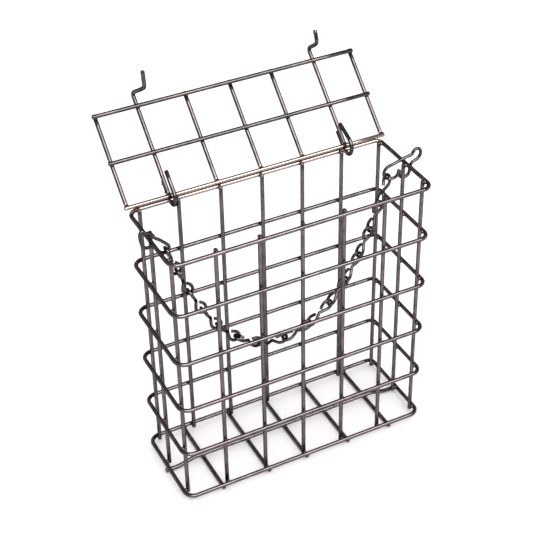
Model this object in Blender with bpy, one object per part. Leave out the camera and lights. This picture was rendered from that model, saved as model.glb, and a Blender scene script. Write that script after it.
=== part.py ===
"""A hanging wire basket for a suet cake: welded cage, hinged wire lid with two sprung hooks,
and a jack chain for hanging. Lengths are in millimetres here and are scaled to metres at the end.
+Z is up, the front is -Y, and the lid stands open at rest."""

import math

import bpy
import numpy as np

MM = 0.001

# Basket
WIRE = 2.0
WIDTH = 133.0
DEPTH = 48.8
RING_PITCH = 28.15
RINGS = 6
CORNERS = (3.0, 5.0, 5.0, 5.0)  # bend radii of the rings: rear right, rear left, front left, front right
LAP = 2.2  # centre distance of two basket wires that cross
FACET_TILT = math.radians(22.5)  # turns an 8-sided wire so that it lies on a flat
BASE_Z = WIRE / 2 * math.cos(FACET_TILT)
BASE_RING_Z = BASE_Z + LAP
RIM_Z = BASE_RING_Z + (RINGS - 1) * RING_PITCH
UPRIGHT_PITCH = 21.6
UPRIGHT_Z = BASE_RING_Z - WIRE / 2
FRONT_TIP = 1.2  # how far the front uprights stand above the rim wire's centre
TIP = 1.0
BASE_CROSS_X = (-47.0, -21.5, 0.0, 24.0, 48.5)

# Lid, in the plane (d, n): d runs from the hinge to the front wire, n out of the underside
LID_LEFT = -68.0
LID_RIGHT = (69.2, 69.7, 69.4)  # of the hinge, middle and front wires
LID_LEAN = math.radians(46.39)  # from upright, backwards
LID_MID = 21.9
LID_FRONT = 45.15
HINGE_Y = DEPTH / 2
HINGE_Z = RIM_Z + 2.25
LID_ROD_X = (-66.1, -20.5, 2.7, 24.9, 68.8)
LATCH_X = (-45.0, 48.3)
LATCH_REACH = 51.8
LATCH_SWAY = (3.3, 0.4)  # how far each hook leans along the hinge
LATCH_TIP = ((56.9, 12.8), (56.4, 10.8))
CLIP_X = (-44.6, 48.4)
CLIP_RADIUS = 4.5
CLIP_TIP = (4.5, 0.8)  # n of each clip's free end: the right clip is pinched shut

# Chain
LINK_WIRE = 1.6
LINK_HALF = 8.17
EYE = 2.35
LINK_PLAY = 0.3
LINKS = 14
CHAIN_Y = 0.0
HOOK_Y = 0.3
HALF_NIP = (LINK_WIRE + LINK_PLAY) / 2
LINK_PITCH = 2 * (LINK_HALF - HALF_NIP)
CHAIN_LEFT = np.array((-58.6, RIM_Z - 8.4))
CHAIN_RIGHT = np.array((57.0, RIM_Z - 5.0))


def clear_scene():
    for obj in list(bpy.data.objects):
        bpy.data.objects.remove(obj, do_unlink=True)


def paint(name, color):
    material = bpy.data.materials.new(name)
    material.use_nodes = True
    shader = material.node_tree.nodes["Principled BSDF"]
    shader.inputs["Base Color"].default_value = (*color, 1.0)
    shader.inputs["Metallic"].default_value = 0.9
    shader.inputs["Roughness"].default_value = 0.3
    return material


def arc(center, radius, start, stop, steps):
    """Points of a circle in a plane, with angles in degrees, both ends included."""
    angles = np.radians(np.linspace(start, stop, steps + 1))
    return [(center[0] + radius * math.cos(a), center[1] + radius * math.sin(a)) for a in angles]


def wire(name, points, material, diameter=WIRE, closed=False, sides=8, origin=(0, 0, 0), tilt=FACET_TILT):
    """One round wire along a path, with its cut ends closed."""
    curve = bpy.data.curves.new(name, "CURVE")
    curve.dimensions = "3D"
    curve.bevel_depth = diameter / 2 * MM
    curve.bevel_resolution = sides // 2 - 2
    curve.use_fill_caps = True
    spline = curve.splines.new("POLY")
    spline.points.add(len(points) - 1)
    for knot, point in zip(spline.points, points):
        knot.co = (*((np.array(point) - origin) * MM), 1.0)
        knot.tilt = tilt
    spline.use_cyclic_u = closed
    spline.use_smooth = True
    curve.materials.append(material)
    obj = bpy.data.objects.new(name, curve)
    obj.location = np.array(origin, float) * MM
    bpy.context.scene.collection.objects.link(obj)
    return obj


def ring_path(z):
    path = []
    signs = ((1, 1), (-1, 1), (-1, -1), (1, -1))
    for index, (radius, (side, rear)) in enumerate(zip(CORNERS, signs)):
        center = (side * (WIDTH / 2 - radius), rear * (DEPTH / 2 - radius))
        path += arc(center, radius, 90 * index, 90 * index + 90, 4)
    return [(x, y, z) for x, y in path]


def build_basket(material):
    for index in range(RINGS):
        z = BASE_RING_Z + index * RING_PITCH
        wire(f"ring_{index + 1}", ring_path(z), material, closed=True)

    front_y = -(DEPTH / 2 - LAP)
    rear_y = DEPTH / 2 - LAP
    for index in range(5):
        front_x = -1.1 + (index - 2) * UPRIGHT_PITCH
        rear_x = 0.9 + (index - 2) * UPRIGHT_PITCH
        front = [(front_x, front_y, UPRIGHT_Z), (front_x, front_y, RIM_Z + FRONT_TIP)]
        rear = [(rear_x, rear_y, UPRIGHT_Z), (rear_x, rear_y, RIM_Z + TIP)]
        wire(f"front_upright_{index + 1}", front, material)
        wire(f"rear_upright_{index + 1}", rear, material)

    side_x = WIDTH / 2 - LAP
    left = ((-side_x, -18.9), (-side_x, 4.0), (-61.7, rear_y))
    right = ((side_x, -18.9), (side_x, -1.9), (side_x, 21.0))
    for side, places in (("left", left), ("right", right)):
        for index, (x, y) in enumerate(places):
            wire(f"side_upright_{side}_{index + 1}", [(x, y, UPRIGHT_Z), (x, y, RIM_Z + TIP)], material)

    for index, x in enumerate(BASE_CROSS_X):
        ends = [(x, -DEPTH / 2, BASE_Z), (x, DEPTH / 2, BASE_Z)]
        wire(f"base_cross_{index + 1}", ends, material)

    high = BASE_Z + LAP
    half = [(51.0, high), (53.0, high - 0.25), (60.0, BASE_Z + 0.2), (62.0, BASE_Z), (68.0, BASE_Z)]
    path = [(-x, 0.5, z) for x, z in reversed(half)] + [(x, 0.5, z) for x, z in half]
    wire("base_long_wire", path, material)


def lid_point(x, d, n):
    """A point of the lid, from its own plane to the standing-open pose."""
    back = math.sin(LID_LEAN)
    rise = math.cos(LID_LEAN)
    return (x, HINGE_Y + d * back - n * rise, HINGE_Z + d * rise + n * back)


def build_lid(material):
    hinge = (0.0, HINGE_Y, HINGE_Z)

    def lid_wire(name, x, path):
        wire(name, [lid_point(x, d, n) for d, n in path], material, origin=hinge)

    long_wires = (("lid_hinge_wire", 0.0), ("lid_mid_wire", LID_MID), ("lid_front_wire", LID_FRONT))
    for (name, d), right in zip(long_wires, LID_RIGHT):
        ends = [lid_point(LID_LEFT, d, 0.0), lid_point(right, d, 0.0)]
        wire(name, ends, material, origin=hinge)

    for index, x in enumerate(LID_ROD_X):
        lid_wire(f"lid_rod_{index + 1}", x, [(0.0, -LAP), (LID_FRONT + 1.6, -LAP)])

    rod = [(0.0, -LAP)] + arc((LATCH_REACH - 1.6, -LAP + 1.6), 1.6, -90, 0, 4)
    leg = [(51.5, 2.0), (51.0, 4.6), (50.8, 6.4), (51.1, 7.7), (52.2, 8.9)]
    for side, x, sway, tip in zip(("left", "right"), LATCH_X, LATCH_SWAY, LATCH_TIP):
        path = [lid_point(x, d, n) for d, n in rod]
        path += [lid_point(x + sway * min(1.0, n / 7.0), d, n) for d, n in leg]
        path.append(lid_point(x + sway, *tip))
        wire(f"latch_rod_{side}", path, material, origin=hinge)

    for side, x, tip in zip(("left", "right"), CLIP_X, CLIP_TIP):
        clip = [(9.0, -CLIP_RADIUS)]
        clip += arc((0.0, 0.0), CLIP_RADIUS, -90, -270, 8)
        clip += [(1.5, CLIP_RADIUS), (11.0, tip)]
        lid_wire(f"hinge_clip_{side}", x, clip)


def eye_path():
    """Half a link as (s, t): s out from its middle, t to the side. It runs from the cut end to the middle."""
    tip = LINK_HALF - EYE
    path = [(1.9, 1.1), (3.1, 1.8), (4.5, EYE)]
    path += arc((tip, 0.0), EYE, 90, -90, 6)
    path += [(4.5, -EYE), (3.1, -1.75), (1.6, -0.9)]
    return path


def hang(lengths, start, stop):
    """The joints of a chain of equal links between two points: tan(slope) grows evenly along it."""
    indices = np.arange(len(lengths))

    def ends(q, m):
        slopes = np.arctan(q * (indices - m))
        return lengths @ np.cos(slopes), lengths @ np.sin(slopes), slopes

    low_q, high_q = 1e-4, 5.0
    for _ in range(60):
        q = (low_q + high_q) / 2
        low_m, high_m = 0.0, float(len(lengths))
        for _ in range(60):
            m = (low_m + high_m) / 2
            run, rise, slopes = ends(q, m)
            if rise > stop[1] - start[1]:
                low_m = m
            else:
                high_m = m
        if run > stop[0] - start[0]:
            low_q = q
        else:
            high_q = q
    steps = np.stack([lengths * np.cos(slopes), lengths * np.sin(slopes)], axis=1)
    return np.vstack([start, start + np.cumsum(steps, axis=0)])


def link_points(left, along, last):
    """A link from its left tip, along a unit direction in the plane of the chain. Its left eye
    stands across that plane and its right eye lies in it. The last link's eyes both stand across."""
    across = np.array((-along[1], along[0]))
    middle = left + LINK_HALF * along
    half = eye_path()
    path = []
    for s, t in half:
        x, z = middle - s * along
        path.append((x, CHAIN_Y + t, z))
    path.append((middle[0], CHAIN_Y, middle[1]))
    for s, t in reversed(half):
        x, z = middle + s * along + (0.0 if last else t) * across
        path.append((x, CHAIN_Y + (t if last else 0.0), z))
    return path


def end_link_points():
    """The long eye round the left side of the rim, and the eye that holds the first link."""
    rim = np.array((-WIDTH / 2, RIM_Z))
    loop = [(0.8, -3.9), (-0.4, -4.4), (-1.7, -4.2), (-2.8, -3.3), (-3.5, -2.0), (-3.9, -0.3)]
    loop += [(-4.2, 1.8), (-4.1, 3.7), (-3.4, 4.9), (-2.4, 4.9), (-1.5, 3.7), (0.0, 3.0)]
    loop += [(1.4, 2.2), (2.2, 1.0), (2.7, -0.2)]
    path = [rim + point for point in loop]
    toward = CHAIN_LEFT - rim
    along = toward / np.linalg.norm(toward)
    across = np.array((-along[1], along[0]))
    tip = CHAIN_LEFT + (HALF_NIP - EYE) * along
    eye = [(-5.4, EYE - 0.1)] + arc((0.0, 0.0), EYE, 90, -90, 6) + [(-3.0, -EYE + 0.1), (-5.2, -1.3)]
    path += [tip + s * along + t * across for s, t in eye]
    return [(x, CHAIN_Y, z) for x, z in path]


def build_chain(material):
    anchor = (-WIDTH / 2, CHAIN_Y, RIM_Z)
    wire("chain_end_link", end_link_points(), material, LINK_WIRE, sides=6, origin=anchor)
    joints = hang(np.full(LINKS, LINK_PITCH), CHAIN_LEFT, CHAIN_RIGHT)
    for index in range(LINKS):
        toward = joints[index + 1] - joints[index]
        along = toward / np.linalg.norm(toward)
        points = link_points(joints[index] - HALF_NIP * along, along, index == LINKS - 1)
        wire(f"chain_link_{index + 1:02d}", points, material, LINK_WIRE, sides=6, origin=anchor)
    wire("chain_hook", hook_points(), material, LINK_WIRE, sides=6)


def hook_points():
    """The hook at the chain's right end, from the right side of the rim: an eye inside the basket,
    a strand over the rim, an eye outside and a loop back under it."""
    inner_eye = [(-4.3, -1.2, -1.9), (-4.6, -1.2, -3.9), (-5.6, -1.0, -5.6), (-7.6, -0.2, -6.5)]
    inner_eye += [(x, HOOK_Y, z) for x, z in arc((-8.0, -2.9), 3.6, -115, -270, 7)]
    over = [(-5.4, 1.3), (-3.0, 2.0), (-0.6, 2.6), (2.0, 3.1), (3.7, 3.4)]
    outer_eye = [(4.4, 4.7), (5.5, 5.8), (6.9, 5.9), (8.1, 5.0), (8.7, 3.4), (8.3, 1.7), (7.3, 0.4)]
    under = [(5.9, -0.3), (4.4, -0.8), (3.4, -1.9), (3.0, -3.4)]
    under += arc((-0.1, -5.3), 2.9, 10, -180, 6) + [(-2.9, -3.4)]
    path = inner_eye + [(x, HOOK_Y, z) for x, z in over + outer_eye + under]
    return [(WIDTH / 2 + x, y, RIM_Z + z) for x, y, z in path]


clear_scene()
basket_paint = paint("basket_wire", (0.10, 0.085, 0.09))
lid_paint = paint("lid_wire", (0.12, 0.09, 0.09))
chain_paint = paint("chain_wire", (0.06, 0.06, 0.065))
build_basket(basket_paint)
build_lid(lid_paint)
build_chain(chain_paint)
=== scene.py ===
"""Looks for the hanging wire basket: round lacquered wires with welds, in place of the faceted CAD wires.
Lengths are in millimetres until a mesh is made. Paths follow the same dimensions as part.py, and what can
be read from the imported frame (wire places, the lid's slope) comes from there."""

import math

import bpy
import numpy as np
from mathutils import Matrix, Vector


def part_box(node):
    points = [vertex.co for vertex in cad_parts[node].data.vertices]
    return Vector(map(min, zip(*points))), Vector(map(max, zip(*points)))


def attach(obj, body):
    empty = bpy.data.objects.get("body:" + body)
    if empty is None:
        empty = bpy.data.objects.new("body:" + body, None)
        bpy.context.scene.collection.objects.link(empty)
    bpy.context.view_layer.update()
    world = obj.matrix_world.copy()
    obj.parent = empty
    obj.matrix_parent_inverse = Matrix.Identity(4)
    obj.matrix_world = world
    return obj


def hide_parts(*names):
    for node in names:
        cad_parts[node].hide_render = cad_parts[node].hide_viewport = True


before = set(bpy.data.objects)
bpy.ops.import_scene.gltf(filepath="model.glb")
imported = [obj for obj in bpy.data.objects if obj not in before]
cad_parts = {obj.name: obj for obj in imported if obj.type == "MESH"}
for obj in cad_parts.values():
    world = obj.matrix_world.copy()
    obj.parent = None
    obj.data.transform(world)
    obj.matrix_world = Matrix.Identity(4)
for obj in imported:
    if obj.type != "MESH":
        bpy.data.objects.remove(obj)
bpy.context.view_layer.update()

MM = 0.001

# ---------------------------------------------------------------- sizes, in millimetres
WIRE = 1.0  # radius
SIDES = 16
STATIONS = 9  # cross-sections of a straight wire
FACET = math.cos(math.radians(22.5))  # a CAD wire's flat is this much of its radius from its centre
RINGS = 6
UPRIGHTS = 5  # in the front, and as many in the rear and under the base
SIDE_UPRIGHTS = 3
CORNERS = (3.0, 5.0, 5.0, 5.0)  # bend radii of the rings: rear right, rear left, front left, front right
LAP = 2.2  # centre distance of two wires that cross
LONG_WIRE_Y = 0.5  # place of the long wire over the base
LID_RODS = 5
ROD_PAST_FRONT = 1.6  # the rods end this far past the front wire's centre
CLIP_RADIUS = 4.5
CLIP_TIP = (4.5, 0.8)  # n of each clip's free end
LATCH_REACH = 51.8  # d of each sprung hook's neck
LATCH_X = {"left": -45.0, "right": 48.3}
LATCH_SWAY = (3.3, 0.4)  # how far each hook leans along the hinge
LATCH_TIP = ((56.9, 12.8), (56.4, 10.8))  # d and n of each hook's free end
LATCH_BEND = 1.6
LINK_WIRE = 0.8  # radius
LINK_SIDES = 12
LINK_HALF = 8.17  # from a link's middle to the centre of its wire at the tip
EYE = 2.35  # radius of an eye, to the centre of its wire
HALF_NIP = 0.95  # half the distance between the wire centres of two links where they meet
LINKS = 14
CHAIN_Y = 0.0
HOOK_Y = 0.3
WELD_REACH = 1.25
WELD_HEIGHT = 0.95
CLIP_WELDS = (3.0, 7.0)  # d of the two welds that join a clip to its rod
SHEEN_DROP = 1.1  # the painted reflection strip's middle is this far under the hinge wire
SHEEN_REACH = (2.4, 3.6)  # the painted reflection fades out between these distances


def middle(node):
    """The centre of a CAD node's box, in millimetres."""
    low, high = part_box(node)
    return (np.array(low) + np.array(high)) / 2 / MM


def ends(node):
    """The low and high corners of a CAD node's box, in millimetres."""
    low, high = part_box(node)
    return np.array(low) / MM, np.array(high) / MM


RIM_X = 66.5  # x of the wire centres in the right side
RIM_Z = middle(f"ring_{RINGS}")[2]
HINGE = middle("lid_hinge_wire")
HINGE[0] = 0.0
LID_SLOPE = middle("lid_front_wire")[1:] - HINGE[1:]
LID_LENGTH = np.linalg.norm(LID_SLOPE)
LID_ALONG = LID_SLOPE / LID_LENGTH
CHAIN_LEFT = (-58.6, RIM_Z - 8.4)  # x and z of the chain's first joint
CHAIN_RIGHT = (57.0, RIM_Z - 5.0)  # x and z of its joint with the hook

# ---------------------------------------------------------------- colours and light
COPPER = (0.22, 0.155, 0.15)
# painted reflection: the lighter colour of the strip along the hinge line
HINGE_SHEEN_PAINT = (0.42, 0.34, 0.31)
STEEL_EDGE = (0.16, 0.14, 0.15)
FLOOR_WHITE = (0.93, 0.915, 0.92)
LAMP_WHITE = (1.0, 0.985, 0.98)
AMBIENT = 1.22
GLOSSY_AMBIENT = 0.36  # the surroundings as the wires reflect them
BACKDROP = 1.0  # the surroundings as the camera sees them


# ---------------------------------------------------------------- mesh tools
def arc(center, radius, start, stop, steps):
    """Points of a circle in a plane, with angles in degrees, both ends included."""
    angles = np.radians(np.linspace(start, stop, steps + 1))
    return [(center[0] + radius * math.cos(a), center[1] + radius * math.sin(a)) for a in angles]


def smooth_path(points, steps=4):
    """A Catmull-Rom curve through points."""
    p = np.array(points, float)
    p = np.vstack([2 * p[0] - p[1], p, 2 * p[-1] - p[-2]])
    path = []
    for k in range(1, len(p) - 2):
        for t in np.linspace(0, 1, steps, endpoint=False):
            path.append(0.5 * (2 * p[k] + (p[k + 1] - p[k - 1]) * t
                               + (2 * p[k - 1] - 5 * p[k] + 4 * p[k + 1] - p[k + 2]) * t ** 2
                               + (3 * p[k] - p[k - 1] - 3 * p[k + 1] + p[k + 2]) * t ** 3))
    path.append(p[-2])
    return path


def frames_along(path, closed):
    """A tangent and two normals at each point, turned as little as possible from point to point."""
    if closed:
        tangents = np.roll(path, -1, axis=0) - np.roll(path, 1, axis=0)
    else:
        tangents = np.gradient(path, axis=0)
    tangents /= np.linalg.norm(tangents, axis=1)[:, None]
    guide = np.array((0.0, 0.0, 1.0)) if abs(tangents[0][2]) < 0.9 else np.array((1.0, 0.0, 0.0))
    normals = []
    for tangent in tangents:
        guide = guide - tangent * (guide @ tangent)
        guide /= np.linalg.norm(guide)
        normals.append(guide)
    normals = np.array(normals)
    return tangents, normals, np.cross(tangents, normals)


def tube(name, path, radius=WIRE, closed=False, sides=SIDES):
    """A round wire with slightly rounded cut ends. path is in millimetres."""
    path = np.array(path, float)
    tangents, normals, binormals = frames_along(path, closed)
    stations = [(path[k], radius, k) for k in range(len(path))]
    if not closed:
        rounding = ((0.0, 0.70), (0.06, 0.88), (0.22, 1.0))  # depth and radius, as shares of the wire's
        first = [(path[0] + tangents[0] * s * radius, radius * r, 0) for s, r in rounding]
        last = [(path[-1] - tangents[-1] * s * radius, radius * r, len(path) - 1) for s, r in rounding]
        stations = first + stations[1:-1] + last[::-1]
    angles = 2 * np.pi * np.arange(sides) / sides
    verts = []
    for center, r, k in stations:
        spokes = np.outer(np.cos(angles), normals[k]) + np.outer(np.sin(angles), binormals[k])
        verts.extend(center + r * spokes)
    faces = []
    count = len(stations)
    for k in range(count if closed else count - 1):
        a, b = k * sides, (k + 1) % count * sides
        for s in range(sides):
            n = (s + 1) % sides
            faces.append((a + s, a + n, b + n, b + s))
    if not closed:
        faces.append(tuple(reversed(range(sides))))
        faces.append(tuple((count - 1) * sides + s for s in range(sides)))
    mesh = bpy.data.meshes.new(name)
    mesh.from_pydata([tuple(v * MM) for v in verts], [], faces)
    mesh.polygons.foreach_set("use_smooth", [True] * len(faces))
    mesh.update()
    obj = bpy.data.objects.new(name, mesh)
    bpy.context.scene.collection.objects.link(obj)
    return obj


# ---------------------------------------------------------------- materials
def noise(tree, place, scale, detail):
    """A cloudy value between 0 and 1 in the piece's own space."""
    texture = tree.nodes.new("ShaderNodeTexNoise")
    texture.inputs["Scale"].default_value = scale
    texture.inputs["Detail"].default_value = detail
    tree.links.new(place, texture.inputs["Vector"])
    return texture.outputs["Fac"]


def remap(tree, value, old, new):
    """A value with the range old stretched to the range new, and held at its ends."""
    stretch = tree.nodes.new("ShaderNodeMapRange")
    stretch.inputs["From Min"].default_value = old[0]
    stretch.inputs["From Max"].default_value = old[1]
    stretch.inputs["To Min"].default_value = new[0]
    stretch.inputs["To Max"].default_value = new[1]
    tree.links.new(value, stretch.inputs["Value"])
    return stretch.outputs["Result"]


def tinted(tree, color, other, share):
    """A colour with a share of another one mixed in."""
    mix = tree.nodes.new("ShaderNodeMix")
    mix.data_type = "RGBA"
    mix.inputs["B"].default_value = (*other, 1.0)
    tree.links.new(share, mix.inputs["Factor"])
    tree.links.new(color, mix.inputs["A"])
    return mix.outputs["Result"]


def near_hinge(tree, place):
    """1 within a few millimetres of the hinge line and 0 beyond: where the reflection along the hinge wire is
    painted.
    """
    offset = tree.nodes.new("ShaderNodeVectorMath")
    offset.operation = "SUBTRACT"
    offset.inputs[1].default_value = (0.0, HINGE[1] * MM, (HINGE[2] - SHEEN_DROP) * MM)
    tree.links.new(place, offset.inputs[0])
    across = tree.nodes.new("ShaderNodeVectorMath")
    across.operation = "MULTIPLY"
    across.inputs[1].default_value = (0.0, 1.0, 1.0)
    tree.links.new(offset.outputs["Vector"], across.inputs[0])
    distance = tree.nodes.new("ShaderNodeVectorMath")
    distance.operation = "LENGTH"
    tree.links.new(across.outputs["Vector"], distance.inputs[0])
    inner, outer = SHEEN_REACH
    return remap(tree, distance.outputs["Value"], (inner * MM, outer * MM), (1.0, 0.0))


def add_patches_and_hinge_sheen(tree, place, color, warm_share):
    """Coppery patches all over, and a painted reflection, a lighter colour, where they meet the hinge line.
    """
    patch = noise(tree, place, 38.0, 2.0)
    color = tinted(tree, color, COPPER, remap(tree, patch, (0.48, 0.68), (0.0, warm_share)))
    # painted reflection: a lighter strip along the hinge line, mottled by the patches
    painted_sheen = tree.nodes.new("ShaderNodeMath")
    painted_sheen.operation = "MULTIPLY"
    tree.links.new(remap(tree, patch, (0.34, 0.56), (0.45, 1.0)), painted_sheen.inputs[0])
    tree.links.new(near_hinge(tree, place), painted_sheen.inputs[1])
    return tinted(tree, color, HINGE_SHEEN_PAINT, painted_sheen.outputs["Value"])


def lacquered_wire(name, dark, light, rough, warm_share=0.0, scale=260.0):
    """Dark lacquer over drawn steel wire: cloudy colour, uneven gloss, fine drawn and sprayed relief."""
    material = bpy.data.materials.new(name)
    material.use_nodes = True
    tree = material.node_tree
    shader = tree.nodes["Principled BSDF"]
    place = tree.nodes.new("ShaderNodeTexCoord").outputs["Object"]

    cloud = noise(tree, place, scale, 4.0)
    ramp = tree.nodes.new("ShaderNodeValToRGB")
    ramp.color_ramp.elements[0].position = 0.35
    ramp.color_ramp.elements[0].color = (*dark, 1.0)
    ramp.color_ramp.elements[1].position = 0.68
    ramp.color_ramp.elements[1].color = (*light, 1.0)
    tree.links.new(cloud, ramp.inputs["Fac"])
    color = ramp.outputs["Color"]
    # coppery patches, and a painted reflection along the hinge line
    if warm_share:
        color = add_patches_and_hinge_sheen(tree, place, color, warm_share)
    tree.links.new(color, shader.inputs["Base Color"])
    tree.links.new(remap(tree, cloud, (0.3, 0.7), rough), shader.inputs["Roughness"])

    bump = tree.nodes.new("ShaderNodeBump")
    bump.inputs["Strength"].default_value = 0.25
    bump.inputs["Distance"].default_value = 0.06 * MM
    tree.links.new(noise(tree, place, 1900.0, 3.0), bump.inputs["Height"])
    tree.links.new(bump.outputs["Normal"], shader.inputs["Normal"])

    shader.inputs["Metallic"].default_value = 1.0
    shader.inputs["Specular Tint"].default_value = (*STEEL_EDGE, 1.0)
    return material


def finish_piece(obj, material, body, node):
    """Puts a wire on its body in place of its CAD node."""
    obj.data.materials.append(material)
    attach(obj, body)
    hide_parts(node)


BASKET = lacquered_wire("basket_lacquer", dark=(0.100, 0.086, 0.095), light=(0.168, 0.148, 0.162),
                        rough=(0.15, 0.25), warm_share=0.35)
# painted shade: the lid's lacquer is the basket's made darker, to dim the lid's highlights
LID_SHADED = lacquered_wire("lid_lacquer_shaded", dark=(0.070, 0.062, 0.065), light=(0.122, 0.109, 0.114),
                     rough=(0.12, 0.22), warm_share=0.3)
CHAIN = lacquered_wire("chain_lacquer", dark=(0.055, 0.050, 0.053), light=(0.12, 0.108, 0.114),
                       rough=(0.15, 0.26))
WELD = lacquered_wire("weld_lacquer", dark=(0.06, 0.045, 0.045), light=(0.14, 0.10, 0.095),
                      rough=(0.32, 0.5), scale=700.0)


# ---------------------------------------------------------------- basket
def straight(node, axis, body, material):
    """A straight wire along one axis, from its CAD node's box."""
    low, high = ends(node)
    center = (low + high) / 2
    start, stop = center.copy(), center.copy()
    start[axis], stop[axis] = low[axis], high[axis]
    path = [start + (stop - start) * t for t in np.linspace(0, 1, STATIONS)]
    finish_piece(tube(node + "_round", path), material, body, node)


def ring_half_sizes():
    """Half the width and half the depth of the rings, between wire centres."""
    low, high = ends(f"ring_{RINGS}")
    return (high[0] - low[0]) / 2 - WIRE * FACET, (high[1] - low[1]) / 2 - WIRE * FACET


def build_rings():
    half_x, half_y = ring_half_sizes()
    outline = []
    for turn, (radius, (side, rear)) in enumerate(zip(CORNERS, ((1, 1), (-1, 1), (-1, -1), (1, -1)))):
        center = (side * (half_x - radius), rear * (half_y - radius))
        outline += arc(center, radius, 90 * turn, 90 * turn + 90, 10)
    for index in range(1, RINGS + 1):
        node = f"ring_{index}"
        path = [(x, y, middle(node)[2]) for x, y in outline]
        finish_piece(tube(node + "_round", path, closed=True), BASKET, "basket", node)


def build_uprights_and_base():
    for index in range(1, UPRIGHTS + 1):
        straight(f"front_upright_{index}", 2, "basket", BASKET)
        straight(f"rear_upright_{index}", 2, "basket", BASKET)
        straight(f"base_cross_{index}", 1, "basket", BASKET)
    for side in ("left", "right"):
        for index in range(1, SIDE_UPRIGHTS + 1):
            straight(f"side_upright_{side}_{index}", 2, "basket", BASKET)

    low_z = middle("base_cross_3")[2]
    high_z = low_z + LAP
    half = [(0.0, high_z), (25.0, high_z), (48.0, high_z), (51.0, high_z), (53.5, high_z - 0.35),
            (59.5, low_z + 0.35), (62.0, low_z), (65.0, low_z), (68.0, low_z)]
    profile = [(-x, LONG_WIRE_Y, z) for x, z in reversed(half[1:])]
    profile += [(x, LONG_WIRE_Y, z) for x, z in half]
    piece = tube("base_long_wire_round", smooth_path(profile))
    finish_piece(piece, BASKET, "basket", "base_long_wire")


# ---------------------------------------------------------------- lid
def lid_point(x, d, n):
    """A point of the lid at rest: d from the hinge towards the front wire, n out of the underside."""
    back, rise = LID_ALONG
    return (x, HINGE[1] + d * back - n * rise, HINGE[2] + d * rise + n * back)


def build_lid():
    for node in ("lid_hinge_wire", "lid_mid_wire", "lid_front_wire"):
        straight(node, 0, "lid", LID_SHADED)
    for index in range(1, LID_RODS + 1):
        node = f"lid_rod_{index}"
        x = middle(node)[0]
        path = [lid_point(x, d, -LAP) for d in np.linspace(0.0, LID_LENGTH + ROD_PAST_FRONT, STATIONS)]
        finish_piece(tube(node + "_round", path), LID_SHADED, "lid", node)

    rod = [(d, -LAP) for d in (0.0, 12.0, 24.0, 36.0, 46.0)]
    rod += arc((LATCH_REACH - LATCH_BEND, -LAP + LATCH_BEND), LATCH_BEND, -90, 0, 8)
    for side, sway, tip in zip(("left", "right"), LATCH_SWAY, LATCH_TIP):
        x = LATCH_X[side]
        leg = smooth_path([(LATCH_REACH, 0.4), (51.5, 2.0), (51.0, 4.6), (50.8, 6.4), (51.1, 7.7),
                           (52.2, 8.9), tip])
        path = [lid_point(x, d, n) for d, n in rod]
        path += [lid_point(x + sway * min(1.0, n / 7.0), d, n) for d, n in leg]
        node = f"latch_rod_{side}"
        finish_piece(tube(node + "_round", path), LID_SHADED, "lid", node)

    for side, tip in zip(("left", "right"), CLIP_TIP):
        node = f"hinge_clip_{side}"
        clip = [(9.0, -CLIP_RADIUS), (4.5, -CLIP_RADIUS)]
        clip += arc((0.0, 0.0), CLIP_RADIUS, -90, -270, 18)
        clip += [(1.5, CLIP_RADIUS), (6.0, CLIP_RADIUS + (tip - CLIP_RADIUS) * 0.47), (11.0, tip)]
        path = [lid_point(middle(node)[0], d, n) for d, n in clip]
        finish_piece(tube(node + "_round", path), LID_SHADED, "lid", node)


# ---------------------------------------------------------------- chain
def eye_path():
    """Half a link as (s, t): s out from its middle, t to the side. It runs from the cut end to the middle."""
    tip = LINK_HALF - EYE
    path = smooth_path([(1.9, 1.1), (3.1, 1.8), (4.5, EYE), (tip - 0.3, EYE)], 3)
    path += arc((tip, 0.0), EYE, 90, -90, 12)
    path += smooth_path([(tip - 0.3, -EYE), (4.5, -EYE), (3.1, -1.75), (1.6, -0.9)], 3)
    return path


def hang(lengths, start, stop):
    """The joints of a chain of equal links between two points: tan(slope) grows evenly along it."""
    indices = np.arange(len(lengths))
    low_q, high_q = 1e-4, 5.0
    for _ in range(60):
        q = (low_q + high_q) / 2
        low_m, high_m = 0.0, float(len(lengths))
        for _ in range(60):
            m = (low_m + high_m) / 2
            slopes = np.arctan(q * (indices - m))
            if lengths @ np.sin(slopes) > stop[1] - start[1]:
                low_m = m
            else:
                high_m = m
        if lengths @ np.cos(slopes) > stop[0] - start[0]:
            low_q = q
        else:
            high_q = q
    steps = np.stack([lengths * np.cos(slopes), lengths * np.sin(slopes)], axis=1)
    return np.vstack([start, start + np.cumsum(steps, axis=0)])


def link_path(left, along, last):
    """A link whose left eye stands across the chain's plane. Its right eye lies in it, but for the last."""
    across = np.array((-along[1], along[0]))
    center = left + LINK_HALF * along
    half = eye_path()
    path = []
    for s, t in half:
        x, z = center - s * along
        path.append((x, CHAIN_Y + t, z))
    path.append((center[0], CHAIN_Y, center[1]))
    for s, t in reversed(half):
        x, z = center + s * along + (0.0 if last else t) * across
        path.append((x, CHAIN_Y + (t if last else 0.0), z))
    return path


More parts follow.
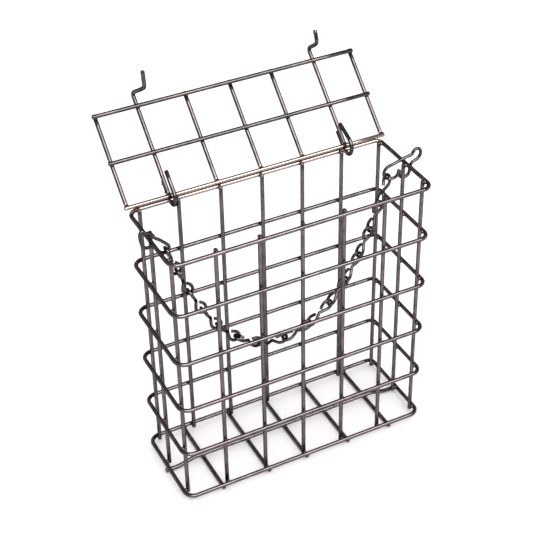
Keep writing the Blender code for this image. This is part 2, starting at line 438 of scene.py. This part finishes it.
def end_link_path(joint):
    """The long eye round the left side of the rim, and the eye that holds the first link."""
    rim = np.array((-RIM_X, RIM_Z))
    loop = [(0.8, -3.9), (-0.4, -4.4), (-1.7, -4.2), (-2.8, -3.3), (-3.5, -2.0), (-3.9, -0.3)]
    loop += [(-4.2, 1.8), (-4.1, 3.7), (-3.4, 4.9), (-2.4, 4.9), (-1.5, 3.7), (0.0, 3.0)]
    loop += [(1.4, 2.2), (2.2, 1.0), (2.7, -0.2)]
    path = [rim + point for point in loop]
    toward = joint - rim
    along = toward / np.linalg.norm(toward)
    across = np.array((-along[1], along[0]))
    tip = joint + (HALF_NIP - EYE) * along
    eye = [(-5.4, EYE - 0.1), (-2.4, EYE)] + arc((0.0, 0.0), EYE, 90, -90, 12)
    eye += [(-1.6, -EYE), (-3.0, -EYE + 0.1), (-5.2, -1.3)]
    path += [tip + s * along + t * across for s, t in eye]
    return smooth_path([(x, CHAIN_Y, z) for x, z in path], 2)


def hook_path():
    """An eye inside the basket, a strand over the rim, an eye outside and a loop back under it."""
    inner_eye = [(-4.3, -1.2, -1.9), (-4.6, -1.2, -3.9), (-5.6, -1.0, -5.6), (-7.6, -0.2, -6.5)]
    inner_eye += [(x, HOOK_Y, z) for x, z in arc((-8.0, -2.9), 3.6, -115, -270, 10)]
    over = [(-5.4, 1.3), (-3.0, 2.0), (-0.6, 2.6), (2.0, 3.1), (3.7, 3.4)]
    outer_eye = [(4.4, 4.7), (5.5, 5.8), (6.9, 5.9), (8.1, 5.0), (8.7, 3.4), (8.3, 1.7), (7.3, 0.4)]
    under = [(5.9, -0.3), (4.4, -0.8), (3.4, -1.9), (3.0, -3.4)]
    under += arc((-0.1, -5.3), 2.9, 10, -180, 8) + [(-2.9, -3.4)]
    path = inner_eye + [(x, HOOK_Y, z) for x, z in over + outer_eye + under]
    return smooth_path([(RIM_X + x, y, RIM_Z + z) for x, y, z in path], 3)


def chain_piece(node, path, body):
    piece = tube(node + "_round", path, LINK_WIRE, sides=LINK_SIDES)
    finish_piece(piece, CHAIN, body, node)


def build_chain():
    joints = hang(np.full(LINKS, 2 * (LINK_HALF - HALF_NIP)), CHAIN_LEFT, CHAIN_RIGHT)
    chain_piece("chain_end_link", end_link_path(joints[0]), "chain")
    for index in range(LINKS):
        along = joints[index + 1] - joints[index]
        along = along / np.linalg.norm(along)
        path = link_path(joints[index] - HALF_NIP * along, along, index == LINKS - 1)
        chain_piece(f"chain_link_{index + 1:02d}", path, "chain")
    chain_piece("chain_hook", hook_path(), "basket")


# ---------------------------------------------------------------- welds
def weld(center, along_a, along_b):
    """A drop of once molten steel between two crossing wires, as points and faces."""
    a = np.array(along_a, float)
    b = np.array(along_b, float)
    normal = np.cross(a, b)
    normal /= np.linalg.norm(normal)
    rows, columns = 7, 12
    points = []
    for row in range(rows):
        tilt = math.pi * (row + 0.5) / rows
        for column in range(columns):
            turn = 2 * math.pi * column / columns
            reach = WELD_REACH * math.sin(tilt) * (1 + 0.12 * math.cos(4 * turn))
            points.append(center + reach * (math.cos(turn) * a + math.sin(turn) * b)
                          + WELD_HEIGHT * math.cos(tilt) * normal)
    faces = []
    for row in range(rows - 1):
        for column in range(columns):
            n = (column + 1) % columns
            faces.append((row * columns + column, row * columns + n,
                          (row + 1) * columns + n, (row + 1) * columns + column))
    faces.append(tuple(reversed(range(columns))))
    faces.append(tuple((rows - 1) * columns + c for c in range(columns)))
    return points, faces


def join_welds(name, welds, body):
    """All the welds of one body as one piece."""
    verts, faces = [], []
    for points, cells in welds:
        base = len(verts)
        verts += [tuple(p * MM) for p in points]
        faces += [tuple(base + i for i in reversed(cell)) for cell in cells]
    mesh = bpy.data.meshes.new(name)
    mesh.from_pydata(verts, [], faces)
    mesh.polygons.foreach_set("use_smooth", [True] * len(faces))
    obj = bpy.data.objects.new(name, mesh)
    bpy.context.scene.collection.objects.link(obj)
    obj.data.materials.append(WELD)
    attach(obj, body)


def build_basket_welds():
    x_axis, y_axis, z_axis = np.eye(3)
    welds = []
    ring_x, ring_y = ring_half_sizes()
    for ring in range(1, RINGS + 1):
        z = middle(f"ring_{ring}")[2]
        for index in range(1, UPRIGHTS + 1):
            for node, sign in ((f"front_upright_{index}", -1), (f"rear_upright_{index}", 1)):
                center = np.array((middle(node)[0], sign * (ring_y - LAP / 2), z))
                welds.append(weld(center, x_axis, z_axis))
        for side, sign in (("left", -1), ("right", 1)):
            for index in range(1, SIDE_UPRIGHTS + 1):
                x, y, _ = middle(f"side_upright_{side}_{index}")
                stands_on_rear_wire = abs(x) < ring_x - 3.0
                if stands_on_rear_wire:
                    welds.append(weld(np.array((x, ring_y - LAP / 2, z)), x_axis, z_axis))
                else:
                    welds.append(weld(np.array((sign * (ring_x - LAP / 2), y, z)), y_axis, z_axis))
    low_z = middle("base_cross_3")[2]
    edge_y = ring_y - 0.6
    for index in range(1, UPRIGHTS + 1):
        x = middle(f"base_cross_{index}")[0]
        for y in (-edge_y, LONG_WIRE_Y, edge_y):
            welds.append(weld(np.array((x, y, low_z + LAP / 2)), x_axis, y_axis))
    for sign in (-1, 1):
        welds.append(weld(np.array((sign * ring_x, LONG_WIRE_Y, low_z + LAP / 2)), x_axis, y_axis))
    join_welds("basket_welds", welds, "basket")


def build_lid_welds():
    x_axis = np.array((1.0, 0.0, 0.0))
    along = np.array((0.0, *LID_ALONG))
    welds = []
    rods_x = [middle(f"lid_rod_{index}")[0] for index in range(1, LID_RODS + 1)]
    mid_wire = np.linalg.norm(middle("lid_mid_wire")[1:] - HINGE[1:])
    for x in rods_x + [LATCH_X["left"], LATCH_X["right"]]:
        for d in (0.7, mid_wire, LID_LENGTH):
            center = np.array(lid_point(x, d, -LAP / 2))
            welds.append(weld(center, x_axis, along))
    for x in (LATCH_X["left"], LATCH_X["right"]):
        for d in CLIP_WELDS:
            center = np.array(lid_point(x, d, -(LAP + CLIP_RADIUS) / 2))
            welds.append(weld(center, x_axis, along))
    join_welds("lid_welds", welds, "lid")


# ---------------------------------------------------------------- stage
def build_stage():
    mesh = bpy.data.meshes.new("floor")
    reach = 6.0
    mesh.from_pydata([(-reach, -reach, 0), (reach, -reach, 0), (reach, reach, 0), (-reach, reach, 0)],
                     [], [(0, 1, 2, 3)])
    floor = bpy.data.objects.new("floor", mesh)
    bpy.context.scene.collection.objects.link(floor)
    material = bpy.data.materials.new("floor_white")
    material.use_nodes = True
    shader = material.node_tree.nodes["Principled BSDF"]
    shader.inputs["Base Color"].default_value = (*FLOOR_WHITE, 1.0)
    shader.inputs["Roughness"].default_value = 0.9
    shader.inputs["Specular IOR Level"].default_value = 0.1
    mesh.materials.append(material)


def area_light(name, place, aim, size, power, diffuse):
    """A rectangular lamp that either lights the white floor or shines in the wires."""
    data = bpy.data.lights.new(name, "AREA")
    data.shape = "RECTANGLE"
    data.size, data.size_y = size
    data.energy = power
    data.color = LAMP_WHITE
    lamp = bpy.data.objects.new(name, data)
    lamp.location = place
    lamp.visible_camera = False
    lamp.visible_diffuse = diffuse
    lamp.visible_glossy = not diffuse
    lamp.rotation_mode = "QUATERNION"
    lamp.rotation_quaternion = (Vector(aim) - Vector(place)).to_track_quat("-Z", "Y")
    bpy.context.scene.collection.objects.link(lamp)


def build_lights():
    """A bright white sweep. The wires see it dark, but for one large softbox over the camera."""
    world = bpy.data.worlds.new("studio")
    world.use_nodes = True
    nodes = world.node_tree.nodes
    links = world.node_tree.links
    rays = nodes.new("ShaderNodeLightPath")
    surroundings = nodes.new("ShaderNodeMix")
    surroundings.data_type = "FLOAT"
    surroundings.inputs["A"].default_value = AMBIENT
    surroundings.inputs["B"].default_value = GLOSSY_AMBIENT
    links.new(rays.outputs["Is Glossy Ray"], surroundings.inputs["Factor"])
    strength = nodes.new("ShaderNodeMix")
    strength.data_type = "FLOAT"
    strength.inputs["B"].default_value = BACKDROP
    links.new(surroundings.outputs["Result"], strength.inputs["A"])
    links.new(rays.outputs["Is Camera Ray"], strength.inputs["Factor"])
    links.new(strength.outputs["Result"], nodes["Background"].inputs["Strength"])
    nodes["Background"].inputs["Color"].default_value = (1.0, 1.0, 1.0, 1.0)
    bpy.context.scene.world = world
    aim = (0.0, 0.0, 0.09)
    area_light("softbox", (0.0, -0.80, 1.0), aim, size=(1.6, 0.85), power=31.0, diffuse=False)
    area_light("fill", (0.0, -0.80, 1.2), aim, size=(1.5, 1.0), power=7.0, diffuse=True)
    view = bpy.context.scene.view_settings
    view.view_transform = "Standard"
    view.look = "None"


def build_camera():
    """The photograph's view: from the left front and above, through a long lens."""
    azimuth = math.radians(-26.655)
    elevation = math.radians(36.679)
    roll = math.radians(-1.089)
    distance = 0.6482
    target = Vector((-0.00407, 0.0, 0.10169))
    back = Vector((math.sin(azimuth) * math.cos(elevation),
                   -math.cos(azimuth) * math.cos(elevation), math.sin(elevation)))
    right = Vector((math.cos(azimuth), math.sin(azimuth), 0.0))
    up = back.cross(right)
    turned_right = right * math.cos(roll) + up * math.sin(roll)
    turned_up = up * math.cos(roll) - right * math.sin(roll)
    data = bpy.data.cameras.new("camera")
    data.lens = 88.55
    data.sensor_width = 36.0
    camera = bpy.data.objects.new("camera", data)
    basis = Matrix((turned_right, turned_up, back)).transposed().to_4x4()
    camera.matrix_world = Matrix.Translation(target + back * distance) @ basis
    bpy.context.scene.collection.objects.link(camera)
    bpy.context.scene.camera = camera


build_rings()
build_uprights_and_base()
build_lid()
build_chain()
build_basket_welds()
build_lid_welds()
build_stage()
build_lights()
build_camera()
